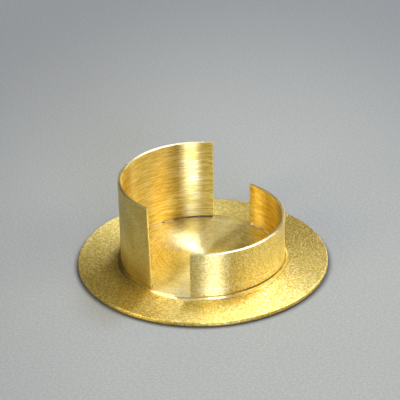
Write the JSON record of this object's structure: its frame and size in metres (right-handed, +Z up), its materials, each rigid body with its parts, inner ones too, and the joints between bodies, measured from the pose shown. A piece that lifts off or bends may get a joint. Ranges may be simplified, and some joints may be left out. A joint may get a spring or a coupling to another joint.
{
  "type": "candle holder",
  "caption": "Low brass candle holder: a flat round drip plate with a socket made of a tall and a low curved wall, open slots between their ends.",
  "frame": {"origin": "centre of the drip plate's underside, where it rests on the table", "axes": "+Z up; the slot between the walls runs along Y, the tall wall is at -X and the low wall at +X; the picture looks from -Y and a little +X"},
  "size_m": [0.1, 0.1, 0.0374],
  "materials": {
    "plate_brass": "satin, brushed in circles",
    "base_brass": "satin, brushed in circles",
    "tall_wall_brass": "satin, brushed along the wall",
    "low_wall_brass": "satin, brushed along the wall",
    "tall_wall_silver": "pale solder, dull",
    "low_wall_silver": "pale solder, dull"
  },
  "bodies": {
    "root": {"drip_plate": "plate_brass", "socket_base": "base_brass", "tall_wall": "tall_wall_brass", "low_wall": "low_wall_brass", "tall_wall_solder": "tall_wall_silver", "low_wall_solder": "low_wall_silver"}
  },
  "joints": []
}
